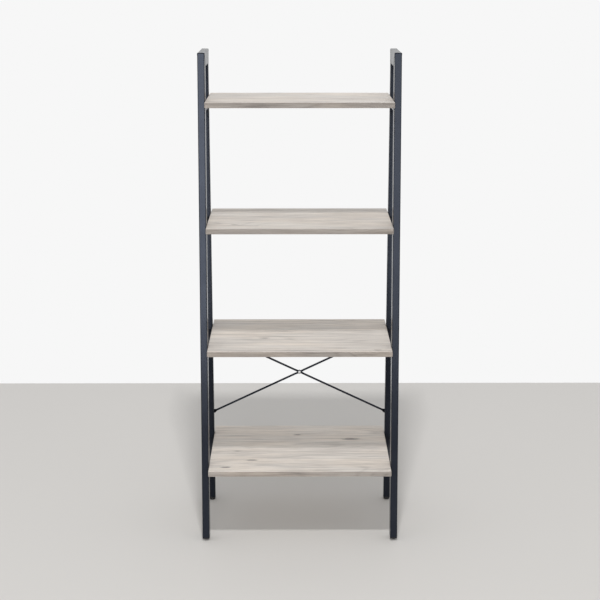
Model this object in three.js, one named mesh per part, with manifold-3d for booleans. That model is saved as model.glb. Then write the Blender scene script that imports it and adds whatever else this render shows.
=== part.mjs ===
// Ladder shelf: two welded steel side frames, four boards between them and a crossed
// brace at the back.  Millimetres, +X to the right of someone in front of the shelf,
// +Y to the wall behind it, +Z up.  The origin is on the floor, under the middle.
import * as THREE from 'three';
import { mergeVertices } from 'three/addons/utils/BufferGeometryUtils.js';
import Module from 'manifold-3d';

const wasm = await Module();
wasm.setup();

// ---- driving dimensions ----------------------------------------------------------

// Side frames.  The front posts lean back, the rear posts are upright.
const OVERALL_WIDTH = 560;
const OVERALL_HEIGHT = 1375;
const SPREAD_AT_FLOOR = 322; // front face of a front post to rear face of a rear post
const SPREAD_AT_TOP = 176;
const TUBE_WIDTH = 20; // every frame tube, measured along X
const FRONT_POST_DEPTH = 40;
const REAR_POST_DEPTH = 20;
const TOP_RAIL_HEIGHT = 40;
const SIDE_RAIL_HEIGHT = 20;
const TUBE_WALL = 1.2;
const TUBE_CORNER = 2;
const WELD_GAP = 0.3; // root gap between two welded pieces

// Boards.
const BOARD_THICKNESS = 15;
const LOWEST_BOARD_TOP = 217.5;
const TOP_BOARD_BELOW_TOP = 130; // top of the top board below the top of the frames
const BOARD_NAMES = ['bottom', 'lower', 'upper', 'top'];
const FRONT_OVERHANG = 36; // board edge in front of the front posts
const REAR_OVERHANG = 52; // board edge behind the rear posts
const BOARD_SIDE_GAP = 0.5;
const BOARD_EDGE = 1; // small chamfer along the long edges

// Tabs welded to the side rails carry the boards.
const TAB_LENGTH = 30;
const TAB_WIDTH = 24;
const TAB_THICKNESS = 3;
const TAB_FROM_RAIL_END = 14;
const TAB_BELOW_RAIL_TOP = 3.3;
const SEAT_GAP = 0.3; // between any two pieces that touch

// Screws through the tabs into the boards.
const WOOD_SCREW = { shank: 4, head: 8, rim: 1, headHeight: 2.4, crown: 4.8, bite: 10 };
const SCREW_CLEARANCE = 0.6; // hole over shank diameter

// Levelling feet and the plugs that they screw into.
const FOOT = { pad: 18, padHeight: 6, chamfer: 1.2, stud: 6, studLength: 24 };
const PLUG_FLANGE = 3;
const PLUG_DEPTH = 18;

// Crossed brace of two round rods with pressed flats, bolted behind the rear posts.
const ROD_DIAMETER = 6;
const FLAT = { width: 12, thickness: 2.4, endLength: 17, pastCrossing: 0.5, taper: 9 };
const BRACE_ABOVE_BOARD = 61; // low bolts above the bottom board
const BRACE_BELOW_BOARD = 7.4; // high bolts below the underside of the next board
const BOLT = { shank: 5, head: 9, headHeight: 2.8, crown: 4.5, nutFlats: 8, nutHeight: 4 };
const BOLT_SHOULDER = { width: 7.7, height: 1.7 }; // where the head's dome turns down
const RIVET_NUT = { body: 7, flange: 10, flangeHeight: 0.8, bulge: 9, bulgeHeight: 3, length: 12 };

// ---- worked-out places -----------------------------------------------------------

const LEAN = (SPREAD_AT_FLOOR - SPREAD_AT_TOP) / OVERALL_HEIGHT; // run back per unit of rise
const LEAN_ANGLE = Math.atan(LEAN);
const TUBE_CENTRE_X = (OVERALL_WIDTH - TUBE_WIDTH) / 2;
const INNER_X = OVERALL_WIDTH / 2 - TUBE_WIDTH;
const TUBE_BOTTOM = FOOT.padHeight + SEAT_GAP + PLUG_FLANGE + SEAT_GAP;
const POST_SECTION_DEPTH = FRONT_POST_DEPTH / Math.cos(LEAN_ANGLE); // on a level cut
const ROD_Y = RIVET_NUT.flangeHeight + 2 * SEAT_GAP + FLAT.thickness / 2;

// Y is measured from the rear face of the rear posts until the group moves it.
const frontFace = (z) => -SPREAD_AT_FLOOR + LEAN * z;
const postBack = (z) => frontFace(z) + POST_SECTION_DEPTH;
const BOARD_PITCH = (OVERALL_HEIGHT - TOP_BOARD_BELOW_TOP - LOWEST_BOARD_TOP)
  / (BOARD_NAMES.length - 1);
const boardTop = (i) => LOWEST_BOARD_TOP + i * BOARD_PITCH;
const boardFront = (i) => frontFace(boardTop(i)) - FRONT_OVERHANG;
const railTop = (i) => boardTop(i) - BOARD_THICKNESS - SEAT_GAP + TAB_BELOW_RAIL_TOP;
const railFront = (i) => postBack(railTop(i));
const tabPlaces = (i) => [
  ['front', railFront(i) + TAB_FROM_RAIL_END + TAB_WIDTH / 2],
  ['rear', -REAR_POST_DEPTH - TAB_FROM_RAIL_END - TAB_WIDTH / 2],
];
const screwX = INNER_X - TAB_LENGTH / 2;

const braceLow = boardTop(0) + BRACE_ABOVE_BOARD;
const braceHigh = boardTop(1) - BOARD_THICKNESS - BRACE_BELOW_BOARD;
const BRACE_MIDDLE = (braceLow + braceHigh) / 2;
const BRACE_SPAN = Math.hypot(2 * TUBE_CENTRE_X, braceHigh - braceLow);
const BRACE_ANGLE = Math.atan2(braceHigh - braceLow, 2 * TUBE_CENTRE_X);
// The rods stay flat this far from their middles, where they are clear of each other.
const CROSSING_REACH = ROD_DIAMETER / 2 / Math.tan(BRACE_ANGLE) + FLAT.pastCrossing;

// ---- materials -------------------------------------------------------------------

const powderCoat = new THREE.MeshStandardMaterial({
  color: 0x33363f, roughness: 0.45, metalness: 0.3,
});
const oakBoard = new THREE.MeshStandardMaterial({
  color: 0xcbc3b9, roughness: 0.6, metalness: 0,
});
const blackPlastic = new THREE.MeshStandardMaterial({
  color: 0x16171a, roughness: 0.6, metalness: 0,
});
const blackSteel = new THREE.MeshStandardMaterial({
  color: 0x202226, roughness: 0.4, metalness: 0.7,
});
const zincSteel = new THREE.MeshStandardMaterial({
  color: 0xc9ccd0, roughness: 0.3, metalness: 0.9,
});

// ---- shape helpers ---------------------------------------------------------------

const REACH = 3000; // far beyond the shelf, for cutting shapes

// A closed three.js geometry as a solid that can be joined and cut.
function solidOf(geometry) {
  const bare = geometry.index ? geometry.toNonIndexed() : geometry.clone();
  bare.deleteAttribute('normal');
  bare.deleteAttribute('uv');
  const merged = mergeVertices(bare, 1e-4);
  return new wasm.Manifold(new wasm.Mesh({
    numProp: 3,
    vertProperties: Float32Array.from(merged.attributes.position.array),
    triVerts: Uint32Array.from(merged.index.array),
  }));
}

function geometryOf(solid) {
  const mesh = solid.getMesh();
  const geometry = new THREE.BufferGeometry();
  geometry.setAttribute('position', new THREE.BufferAttribute(mesh.vertProperties, 3));
  geometry.setIndex(new THREE.BufferAttribute(mesh.triVerts, 1));
  const flat = geometry.toNonIndexed();
  flat.computeVertexNormals();
  return flat;
}

// A rectangle with round corners, centred on (0, 0).
function roundedRectangle(width, height, radius) {
  const x = width / 2 - radius;
  const y = height / 2 - radius;
  const shape = new THREE.Shape();
  shape.absarc(x, y, radius, 0, Math.PI / 2);
  shape.absarc(-x, y, radius, Math.PI / 2, Math.PI);
  shape.absarc(-x, -y, radius, Math.PI, 1.5 * Math.PI);
  shape.absarc(x, -y, radius, 1.5 * Math.PI, 2 * Math.PI);
  shape.closePath();
  return shape;
}

// A prism on the section, along Z from -REACH / 2 to REACH / 2.
function longPrism(section) {
  const geometry = new THREE.ExtrudeGeometry(section, {
    depth: REACH, bevelEnabled: false, curveSegments: 2,
  });
  return geometry.translate(0, 0, -REACH / 2);
}

// An endless tube along Z: width is along X, depth along Y.
function longTube(width, depth) {
  const hollow = 2 * TUBE_WALL;
  const section = roundedRectangle(width, depth, TUBE_CORNER);
  section.holes.push(roundedRectangle(width - hollow, depth - hollow, TUBE_CORNER - TUBE_WALL));
  return longPrism(section);
}

// Turns (x, y, z) of a side-view extrusion into (Y, Z, X) of the shelf.
const sideView = new THREE.Matrix4().makeBasis(
  new THREE.Vector3(0, 1, 0), new THREE.Vector3(0, 0, 1), new THREE.Vector3(1, 0, 0),
);

// Everything to the left of the line from a to b in the side view (y, z), less a gap.
function leftOf(a, b, gap) {
  const along = b.clone().sub(a).normalize();
  const left = new THREE.Vector2(-along.y, along.x);
  const start = a.clone().addScaledVector(along, -REACH).addScaledVector(left, gap);
  const end = b.clone().addScaledVector(along, REACH).addScaledVector(left, gap);
  const corners = [start, end];
  corners.push(end.clone().addScaledVector(left, REACH));
  corners.push(start.clone().addScaledVector(left, REACH));
  const geometry = new THREE.ExtrudeGeometry(new THREE.Shape(corners), {
    depth: 4 * TUBE_WIDTH, bevelEnabled: false,
  });
  return solidOf(geometry.translate(0, 0, -2 * TUBE_WIDTH).applyMatrix4(sideView));
}

const at = (y, z) => new THREE.Vector2(y, z);
const above = (z, gap) => leftOf(at(-1, z), at(1, z), gap);
const below = (z, gap) => leftOf(at(1, z), at(-1, z), gap);

// A cylinder along Y, centred at (x, y, z).
function cylinderAlongY(diameter, length, x, y, z, sides = 16) {
  const geometry = new THREE.CylinderGeometry(diameter / 2, diameter / 2, length, sides);
  return geometry.translate(x, y, z);
}

// A cylinder along Z from z0 to z1.
function cylinderAlongZ(diameter, z0, z1, x, y, sides = 16) {
  const geometry = new THREE.CylinderGeometry(diameter / 2, diameter / 2, z1 - z0, sides);
  return geometry.rotateX(Math.PI / 2).translate(x, y, (z0 + z1) / 2);
}

// A turned piece about Y from [radius, height] pairs.
function turned(profile, sides) {
  return new THREE.LatheGeometry(profile.map(([r, h]) => new THREE.Vector2(r, h)), sides);
}

// The plane of the welded corner between two tubes, from its outer to its inner corner.
const frontCorner = {
  outer: at(frontFace(OVERALL_HEIGHT), OVERALL_HEIGHT),
  inner: at(postBack(OVERALL_HEIGHT - TOP_RAIL_HEIGHT), OVERALL_HEIGHT - TOP_RAIL_HEIGHT),
};
const rearCorner = {
  outer: at(0, OVERALL_HEIGHT),
  inner: at(-REAR_POST_DEPTH, OVERALL_HEIGHT - TOP_RAIL_HEIGHT),
};

// ---- side frame pieces, about X = 0 of their tube ----------------------------------

// The leaning prism that a front post and its plug are cut from.
function alongFrontPost(geometry) {
  const middle = frontFace(0) + POST_SECTION_DEPTH / 2;
  return geometry.rotateX(-LEAN_ANGLE).translate(0, middle, 0);
}

function alongRearPost(geometry) {
  return geometry.translate(0, -REAR_POST_DEPTH / 2, 0);
}

function frontPost() {
  return solidOf(alongFrontPost(longTube(TUBE_WIDTH, FRONT_POST_DEPTH)))
    .intersect(above(TUBE_BOTTOM, 0))
    .intersect(leftOf(frontCorner.inner, frontCorner.outer, WELD_GAP / 2));
}

function topRail() {
  const tube = longTube(TUBE_WIDTH, TOP_RAIL_HEIGHT).rotateX(Math.PI / 2);
  tube.translate(0, 0, OVERALL_HEIGHT - TOP_RAIL_HEIGHT / 2);
  return solidOf(tube)
    .intersect(leftOf(frontCorner.outer, frontCorner.inner, WELD_GAP / 2))
    .intersect(leftOf(rearCorner.inner, rearCorner.outer, WELD_GAP / 2));
}

// A rear post, with the holes of its two rivet nuts.
function rearPost() {
  let post = solidOf(alongRearPost(longTube(TUBE_WIDTH, REAR_POST_DEPTH)))
    .intersect(above(TUBE_BOTTOM, 0))
    .intersect(leftOf(rearCorner.outer, rearCorner.inner, WELD_GAP / 2));
  for (const z of [braceLow, braceHigh]) {
    const hole = cylinderAlongY(RIVET_NUT.body + 2 * SEAT_GAP, REAR_POST_DEPTH, 0, 0, z);
    post = post.subtract(solidOf(hole));
  }
  return post;
}

// A side rail with its two drilled tabs; side is -1 on the left and 1 on the right.
function sideRail(i, side) {
  const tube = longTube(TUBE_WIDTH, SIDE_RAIL_HEIGHT).rotateX(Math.PI / 2);
  tube.translate(0, 0, railTop(i) - SIDE_RAIL_HEIGHT / 2);
  let rail = solidOf(tube)
    .intersect(leftOf(at(postBack(1), 1), at(postBack(0), 0), WELD_GAP))
    .intersect(leftOf(at(-REAR_POST_DEPTH, 0), at(-REAR_POST_DEPTH, 1), WELD_GAP));
  const innerFace = TUBE_WIDTH / 2;
  const weldDepth = TUBE_WALL / 2;
  const tabTop = railTop(i) - TAB_BELOW_RAIL_TOP;
  for (const [, y] of tabPlaces(i)) {
    const tab = new THREE.BoxGeometry(TAB_LENGTH + weldDepth, TAB_WIDTH, TAB_THICKNESS);
    const x = -side * (innerFace + (TAB_LENGTH - weldDepth) / 2);
    rail = rail.add(solidOf(tab.translate(x, y, tabTop - TAB_THICKNESS / 2)));
    const holeX = -side * (innerFace + TAB_LENGTH / 2);
    const hole = cylinderAlongZ(
      WOOD_SCREW.shank + SCREW_CLEARANCE, tabTop - 2 * TAB_THICKNESS, tabTop + 1, holeX, y, 12,
    );
    rail = rail.subtract(solidOf(hole));
  }
  return rail;
}

// A plug that closes the foot of a post and holds the thread of its levelling foot.
function plug({ depth, levelDepth, along, centreY }) {
  const flange = new THREE.ExtrudeGeometry(
    roundedRectangle(TUBE_WIDTH, levelDepth, TUBE_CORNER),
    { depth: PLUG_FLANGE, bevelEnabled: false, curveSegments: 2 },
  );
  const flangeBottom = TUBE_BOTTOM - SEAT_GAP - PLUG_FLANGE;
  flange.translate(0, centreY, flangeBottom);
  const inset = 2 * (TUBE_WALL + SEAT_GAP);
  const core = longPrism(roundedRectangle(TUBE_WIDTH - inset, depth - inset, TUBE_CORNER / 4));
  const body = solidOf(along(core))
    .intersect(above(flangeBottom + PLUG_FLANGE / 2, 0))
    .intersect(below(TUBE_BOTTOM + PLUG_DEPTH, 0));
  const bore = cylinderAlongZ(
    FOOT.stud + SCREW_CLEARANCE, 0, TUBE_BOTTOM + 2 * PLUG_DEPTH, 0, centreY,
  );
  return solidOf(flange).add(body).subtract(solidOf(bore));
}

// ---- boards and loose pieces -------------------------------------------------------

// A board with blind pilot holes in its underside; its top is at Z = 0.
function board(i) {
  const front = boardFront(i);
  const section = new THREE.Shape([
    at(front + BOARD_EDGE, 0),
    at(front, -BOARD_EDGE),
    at(front, BOARD_EDGE - BOARD_THICKNESS),
    at(front + BOARD_EDGE, -BOARD_THICKNESS),
    at(REAR_OVERHANG - BOARD_EDGE, -BOARD_THICKNESS),
    at(REAR_OVERHANG, BOARD_EDGE - BOARD_THICKNESS),
    at(REAR_OVERHANG, -BOARD_EDGE),
    at(REAR_OVERHANG - BOARD_EDGE, 0),
  ]);
  const length = 2 * (INNER_X - BOARD_SIDE_GAP);
  const blank = new THREE.ExtrudeGeometry(section, { depth: length, bevelEnabled: false });
  let solid = solidOf(blank.translate(0, 0, -length / 2).applyMatrix4(sideView));
  for (const side of [-1, 1]) {
    for (const [, y] of tabPlaces(i)) {
      const pilot = cylinderAlongZ(
        WOOD_SCREW.shank + SCREW_CLEARANCE, -BOARD_THICKNESS - 1,
        -BOARD_THICKNESS + WOOD_SCREW.bite + 1, side * screwX, y, 12,
      );
      solid = solid.subtract(solidOf(pilot));
    }
  }
  return geometryOf(solid);
}

// A pan-head wood screw, point up; its head bears at Z = 0.
function woodScrew() {
  const head = WOOD_SCREW.head / 2;
  const shank = WOOD_SCREW.shank / 2;
  const tip = SEAT_GAP + TAB_THICKNESS + SEAT_GAP + WOOD_SCREW.bite;
  return turned([
    [0, -WOOD_SCREW.headHeight],
    [WOOD_SCREW.crown / 2, -WOOD_SCREW.headHeight],
    [head, -WOOD_SCREW.rim],
    [head, 0],
    [shank, 0],
    [shank, tip - shank],
    [0, tip],
  ], 12).rotateX(Math.PI / 2);
}

// A levelling foot: a moulded pad on a threaded stud, standing on Z = 0.
function levellingFoot() {
  const pad = FOOT.pad / 2;
  return turned([
    [0, 0],
    [pad - FOOT.chamfer, 0],
    [pad, FOOT.chamfer],
    [pad, FOOT.padHeight - FOOT.chamfer],
    [pad - FOOT.chamfer, FOOT.padHeight],
    [FOOT.stud / 2, FOOT.padHeight],
    [FOOT.stud / 2, FOOT.padHeight + FOOT.studLength],
    [0, FOOT.padHeight + FOOT.studLength],
  ], 20).rotateX(Math.PI / 2);
}

const TIP_WIDTH = 2.4; // of the small flat that is left at a rod's very end
const PRESSED_SQUARENESS = 0.45; // power of a flat's superellipse section; 1 is an ellipse
const smooth = THREE.MathUtils.smoothstep;

// Half width, half thickness and offset of a brace rod at a distance s from its middle.
// The ends are flat and central; the middle is a flat round eye, pressed to one side.
function rodSection(s) {
  const r = ROD_DIAMETER / 2;
  const eye = Math.sqrt(Math.max((FLAT.width / 2) ** 2 - s ** 2, 0));
  const end = BRACE_SPAN / 2 + FLAT.width / 2;
  const fromEnd = end - Math.abs(s);
  const endFlat = 1 - smooth(fromEnd, FLAT.endLength, FLAT.endLength + FLAT.taper);
  const midFlat = 1 - smooth(Math.abs(s), CROSSING_REACH, CROSSING_REACH + FLAT.taper);
  const round = Math.min(fromEnd / (FLAT.width / 2), 1); // semicircular tip
  const tip = Math.max(Math.sqrt(1 - (1 - round) ** 2), TIP_WIDTH / FLAT.width);
  return {
    width: Math.max(THREE.MathUtils.lerp(r, FLAT.width / 2, endFlat) * tip, eye),
    thickness: THREE.MathUtils.lerp(r, FLAT.thickness / 2, Math.max(endFlat, midFlat)),
    offset: midFlat * (FLAT.thickness + SEAT_GAP) / 2,
    square: Math.max(endFlat, midFlat),
  };
}

// The stations along a rod where its section changes.
function rodStations() {
  const end = BRACE_SPAN / 2 + FLAT.width / 2;
  const tipRadius = FLAT.width / 2;
  const neck = Math.sqrt(tipRadius ** 2 - (ROD_DIAMETER / 2) ** 2);
  const side = [
    0.3 * neck, 0.6 * neck, 0.85 * neck, neck,
    CROSSING_REACH, CROSSING_REACH + FLAT.taper / 2, CROSSING_REACH + FLAT.taper,
    end - FLAT.endLength - FLAT.taper, end - FLAT.endLength - FLAT.taper / 2, end - FLAT.endLength,
    end - tipRadius, end - 0.5 * tipRadius, end - 0.15 * tipRadius, end,
  ];
  return [...side.map((s) => -s).reverse(), 0, ...side];
}

// A brace rod along X with its flats facing Y; press is -1 or 1, the way its middle goes.
function braceRod(press) {
  const stations = rodStations();
  const sides = 12;
  const rod = new THREE.CylinderGeometry(1, 1, 1, sides, stations.length - 1);
  rod.rotateZ(-Math.PI / 2);
  const position = rod.attributes.position;
  const superellipse = (value, power) => Math.sign(value) * Math.abs(value) ** power;
  for (let k = 0; k < position.count; k += 1) {
    const station = Math.round((position.getX(k) + 0.5) * (stations.length - 1));
    const s = stations[station];
    const { width, thickness, offset, square } = rodSection(s);
    const power = THREE.MathUtils.lerp(1, PRESSED_SQUARENESS, square);
    const y = thickness * superellipse(position.getY(k), power) + press * offset;
    const z = width * superellipse(position.getZ(k), power);
    position.setXYZ(k, s, y, z);
  }
  let solid = solidOf(rod);
  for (const x of [-BRACE_SPAN / 2, 0, BRACE_SPAN / 2]) {
    const hole = cylinderAlongY(BOLT.shank + SCREW_CLEARANCE, 4 * ROD_DIAMETER, x, 0, 0);
    solid = solid.subtract(solidOf(hole));
  }
  return geometryOf(solid);
}

// A button-head bolt along Y, its head bearing at Y = 0 with the shank towards +Y.
function bolt(length) {
  const head = BOLT.head / 2;
  const shank = BOLT.shank / 2;
  return turned([
    [0, -BOLT.headHeight],
    [BOLT.crown / 2, -BOLT.headHeight],
    [BOLT_SHOULDER.width / 2, -BOLT_SHOULDER.height],
    [head, 0],
    [shank, 0],
    [shank, length],
    [0, length],
  ], 16);
}

// A hexagon nut along Y, from Y = 0.
function hexNut() {
  const blank = new THREE.CylinderGeometry(
    BOLT.nutFlats / Math.sqrt(3), BOLT.nutFlats / Math.sqrt(3), BOLT.nutHeight, 6,
  );
  const bore = cylinderAlongY(BOLT.shank + SCREW_CLEARANCE, 3 * BOLT.nutHeight, 0, 0, 0);
  return geometryOf(solidOf(blank).subtract(solidOf(bore)).translate([0, BOLT.nutHeight / 2, 0]));
}

// A rivet nut along Y: its flange lies outside the wall at Y = 0 and its bulge inside.
function rivetNut() {
  const bore = (BOLT.shank + SCREW_CLEARANCE) / 2;
  const body = RIVET_NUT.body / 2;
  const behindWall = -TUBE_WALL - SEAT_GAP;
  return turned([
    [bore, -RIVET_NUT.length],
    [body, -RIVET_NUT.length],
    [body, behindWall - RIVET_NUT.bulgeHeight],
    [RIVET_NUT.bulge / 2, behindWall - RIVET_NUT.bulgeHeight / 2],
    [body, behindWall],
    [body, SEAT_GAP],
    [RIVET_NUT.flange / 2, SEAT_GAP],
    [RIVET_NUT.flange / 2, SEAT_GAP + RIVET_NUT.flangeHeight],
    [bore, SEAT_GAP + RIVET_NUT.flangeHeight],
    [bore, -RIVET_NUT.length],
  ], 16);
}

// ---- assembly ----------------------------------------------------------------------

const shelf = new THREE.Group();
shelf.position.y = -(boardFront(0) + REAR_OVERHANG) / 2;

function place(parent, name, geometry, material, x = 0, y = 0, z = 0) {
  const mesh = new THREE.Mesh(geometry, material);
  mesh.name = name;
  mesh.position.set(x, y, z);
  parent.add(mesh);
  return mesh;
}

const postEnds = [
  {
    end: 'front',
    depth: FRONT_POST_DEPTH,
    levelDepth: POST_SECTION_DEPTH,
    along: alongFrontPost,
    centreY: frontFace(TUBE_BOTTOM) + POST_SECTION_DEPTH / 2,
  },
  {
    end: 'rear',
    depth: REAR_POST_DEPTH,
    levelDepth: REAR_POST_DEPTH,
    along: alongRearPost,
    centreY: -REAR_POST_DEPTH / 2,
  },
];

for (const [sideName, side] of [['left', -1], ['right', 1]]) {
  const frame = new THREE.Group();
  frame.position.x = side * TUBE_CENTRE_X;
  shelf.add(frame);

  place(frame, `${sideName}_front_post`, geometryOf(frontPost()), powderCoat);
  place(frame, `${sideName}_rear_post`, geometryOf(rearPost()), powderCoat);
  place(frame, `${sideName}_top_rail`, geometryOf(topRail()), powderCoat);
  BOARD_NAMES.forEach((level, i) => {
    place(frame, `${sideName}_side_rail_${level}`, geometryOf(sideRail(i, side)), powderCoat);
  });
  for (const post of postEnds) {
    place(frame, `${sideName}_${post.end}_plug`, geometryOf(plug(post)), blackPlastic);
    place(frame, `${sideName}_${post.end}_foot`, levellingFoot(), blackPlastic, 0, post.centreY, 0);
  }
  for (const [level, z] of [['low', braceLow], ['high', braceHigh]]) {
    place(frame, `${sideName}_rivet_nut_${level}`, rivetNut(), zincSteel, 0, 0, z);
    const headY = ROD_Y + FLAT.thickness / 2 + SEAT_GAP;
    const screw = place(
      frame, `${sideName}_brace_bolt_${level}`, bolt(RIVET_NUT.length), blackSteel, 0, headY, z,
    );
    screw.rotation.z = Math.PI;
  }
}

BOARD_NAMES.forEach((level, i) => {
  place(shelf, `${level}_board`, board(i), oakBoard, 0, 0, boardTop(i));
  const headZ = boardTop(i) - BOARD_THICKNESS - SEAT_GAP - TAB_THICKNESS - SEAT_GAP;
  for (const [sideName, side] of [['left', -1], ['right', 1]]) {
    for (const [end, y] of tabPlaces(i)) {
      const name = `${level}_board_screw_${sideName}_${end}`;
      place(shelf, name, woodScrew(), blackSteel, side * screwX, y, headZ);
    }
  }
});

// The front rod rises to the right and its middle is pressed forward, the rear rod's back.
for (const [name, press] of [['front', -1], ['rear', 1]]) {
  const rod = place(
    shelf, `brace_rod_${name}`, braceRod(press), powderCoat, 0, ROD_Y, BRACE_MIDDLE,
  );
  rod.rotation.y = press * BRACE_ANGLE;
}
const clampY = FLAT.thickness + SEAT_GAP / 2 + SEAT_GAP; // each face of the clamped pair
const clampLength = 2 * clampY + BOLT.nutHeight + 1;
place(shelf, 'brace_centre_bolt', bolt(clampLength), zincSteel, 0, ROD_Y - clampY, BRACE_MIDDLE);
place(shelf, 'brace_centre_nut', hexNut(), zincSteel, 0, ROD_Y + clampY, BRACE_MIDDLE);

export default shelf;
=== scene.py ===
import bpy
import numpy as np
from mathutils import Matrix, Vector


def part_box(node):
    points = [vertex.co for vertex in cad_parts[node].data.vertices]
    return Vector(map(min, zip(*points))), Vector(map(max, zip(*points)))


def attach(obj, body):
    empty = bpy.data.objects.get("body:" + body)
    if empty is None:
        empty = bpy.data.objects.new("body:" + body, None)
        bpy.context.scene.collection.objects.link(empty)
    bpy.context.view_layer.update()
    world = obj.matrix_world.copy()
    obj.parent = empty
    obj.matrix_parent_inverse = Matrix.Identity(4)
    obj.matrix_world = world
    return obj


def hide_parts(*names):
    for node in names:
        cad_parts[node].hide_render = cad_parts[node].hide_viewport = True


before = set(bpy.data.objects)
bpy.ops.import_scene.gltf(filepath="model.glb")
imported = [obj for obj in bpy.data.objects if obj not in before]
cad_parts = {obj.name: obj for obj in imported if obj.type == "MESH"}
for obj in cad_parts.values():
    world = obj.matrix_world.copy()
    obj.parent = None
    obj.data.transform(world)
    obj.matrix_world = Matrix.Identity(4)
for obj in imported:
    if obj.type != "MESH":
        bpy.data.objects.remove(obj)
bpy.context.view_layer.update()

# ---- steel side frames -------------------------------------------------------------
# Each side frame is welded from 20 mm wide steel tube with a 1.2 mm wall: a 40 mm deep
# front post that leans back, a 20 mm rear post, and a 40 mm top rail between them.
# Four 20 mm side rails tie the posts together, one beside each board.

SIDES = {"left": -1, "right": 1}
LEVELS = ("bottom", "lower", "upper", "top")
ENDS = ("front", "rear")
ACROSS = np.array((1.0, 0.0, 0.0))
AXIS_BACK = np.array((0.0, 1.0, 0.0))
AXIS_UP = np.array((0.0, 0.0, 1.0))

TUBE_WIDTH = 0.020  # and the depth of the rear posts and side rails
FRONT_DEPTH = 0.040  # depth of the front posts
TUBE_WALL = 0.0012
TUBE_CORNER = 0.002
RAISED_EDGE = 0.0003  # small bevel at a sawn tube end
LEAN = 0.146 / 1.375  # the front posts run back this much for each unit of rise
LEAN_LENGTH = np.hypot(1, LEAN)
LEAN_AXIS = np.array((0.0, LEAN, 1.0)) / LEAN_LENGTH
LEAN_DEEP = np.array((0.0, 1.0, -LEAN)) / LEAN_LENGTH
LEVEL_DEPTH = FRONT_DEPTH * LEAN_LENGTH  # depth of a front post, measured level

PLATE_LENGTH = 0.0306
PLATE_WIDTH = 0.024
PLATE_THICKNESS = 0.003
PLATE_CORNER = 0.003
PLATE_EDGE = 0.0003  # bevel round a plate, and its gap to the board
PLATE_HOLE_RADIUS = 0.0023
PLATE_SHIFT = 0.0003  # towards the rail, so that a plate starts inside the rail's wall
CORNER_WELD = 0.0005  # how far the bead of a top corner stands proud
RAIL_WELD = 0.0007  # and that of a side rail's end


def rounded_outline(width, depth, radius, steps=5):
    """A rectangle of width by depth about (0, 0), anticlockwise.  Each corner is a
    quarter circle of the radius, with one more point on either side of it, just along
    the flat, so that the flat keeps its own shading."""
    flat = min(0.075 * min(width, depth), 0.0006)
    turn = np.linspace(0, np.pi / 2, steps + 1)
    arc = np.stack([np.cos(turn), np.sin(turn)], 1) * radius
    corner = np.vstack([[radius, -flat], arc, [-flat, radius]])
    points = []
    for quarter, (sx, sy) in enumerate([(1, 1), (-1, 1), (-1, -1), (1, -1)]):
        c, s = np.cos(quarter * np.pi / 2), np.sin(quarter * np.pi / 2)
        centre = np.array((sx * (width / 2 - radius), sy * (depth / 2 - radius)))
        points.append(corner @ np.array([[c, s], [-s, c]]) + centre)
    return np.vstack(points)


def skin(name, grids, material, body="shelf", sharp=30):
    """One closed piece from grids of points.  Each grid is an array of rings of points
    and a word for its ends: "loop" joins the last ring to the first, "caps" closes both
    ends with a flat face, and "points" says that the end rings have shrunk to a point.
    Neighbouring rings are joined by four-cornered faces, turned to point outwards.  The
    piece rides on the body, and edges turned by more than sharp degrees stay crisp."""
    vertices, faces, start = [], [], 0
    for grid, ends in grids:
        rings, around = grid.shape[:2]
        number = np.arange(rings * around).reshape(rings, around) + start
        first = number if ends == "loop" else number[:-1]
        second = np.roll(number, -1, 0) if ends == "loop" else number[1:]
        quads = np.stack(
            [first, np.roll(first, -1, 1), np.roll(second, -1, 1), second], -1
        ).reshape(-1, 4)
        flat = grid.reshape(-1, 3)
        a, b, c, d = (flat[quads[:, k] - start] for k in range(4))
        middle = flat.mean(0)
        volume = np.einsum("ij,ij->", a - middle, np.cross(b - middle, c - middle))
        volume += np.einsum("ij,ij->", a - middle, np.cross(c - middle, d - middle))
        lids = [number[0][::-1], number[-1]] if ends == "caps" else []
        if volume < 0:
            quads = quads[:, ::-1]
            lids = [lid[::-1] for lid in lids]
        vertices.append(flat)
        faces += quads.tolist() + [lid.tolist() for lid in lids]
        start += rings * around
    mesh = bpy.data.meshes.new(name)
    mesh.from_pydata(np.vstack(vertices).tolist(), [], faces)
    mesh.polygons.foreach_set("use_smooth", np.ones(len(mesh.polygons), bool))
    mesh.validate()
    mesh.set_sharp_from_angle(angle=np.radians(sharp))
    piece = bpy.data.objects.new(name, mesh)
    bpy.context.scene.collection.objects.link(piece)
    mesh.materials.append(material)
    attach(piece, body)
    return piece


def slide_to(points, axis, plane):
    """Each point slid along the axis until it lies in the plane (a point, a normal)."""
    place, normal = plane
    travel = ((place - points) @ normal) / (axis @ normal)
    return points + travel[:, None] * axis


def tube(centre, axis, deep, depth, start, end):
    """A hollow tube between two planes: the outer wall out, the rim over, the inner
    wall back.  deep is the direction of the tube's depth."""
    def ring(inset, plane, along):
        outline = rounded_outline(
            TUBE_WIDTH - 2 * inset, depth - 2 * inset, max(TUBE_CORNER - inset, 0.0004)
        )
        points = centre + outline[:, :1] * ACROSS + outline[:, 1:] * deep
        return slide_to(points, axis, plane) + along * axis
    return np.stack([
        ring(0, start, RAISED_EDGE), ring(0, end, -RAISED_EDGE), ring(RAISED_EDGE, end, 0),
        ring(TUBE_WALL, end, 0), ring(TUBE_WALL, start, 0), ring(RAISED_EDGE, start, 0),
    ]), "loop"


def level_plane(z):
    """The level plane at height z."""
    return np.array((0, 0, z)), AXIS_UP


def corner_plane(a, b):
    """The plane across a welded corner, through two points of the side view (y, z)."""
    a, b = np.array((0, *a)), np.array((0, *b))
    return a, np.cross(ACROSS, b - a)


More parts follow.
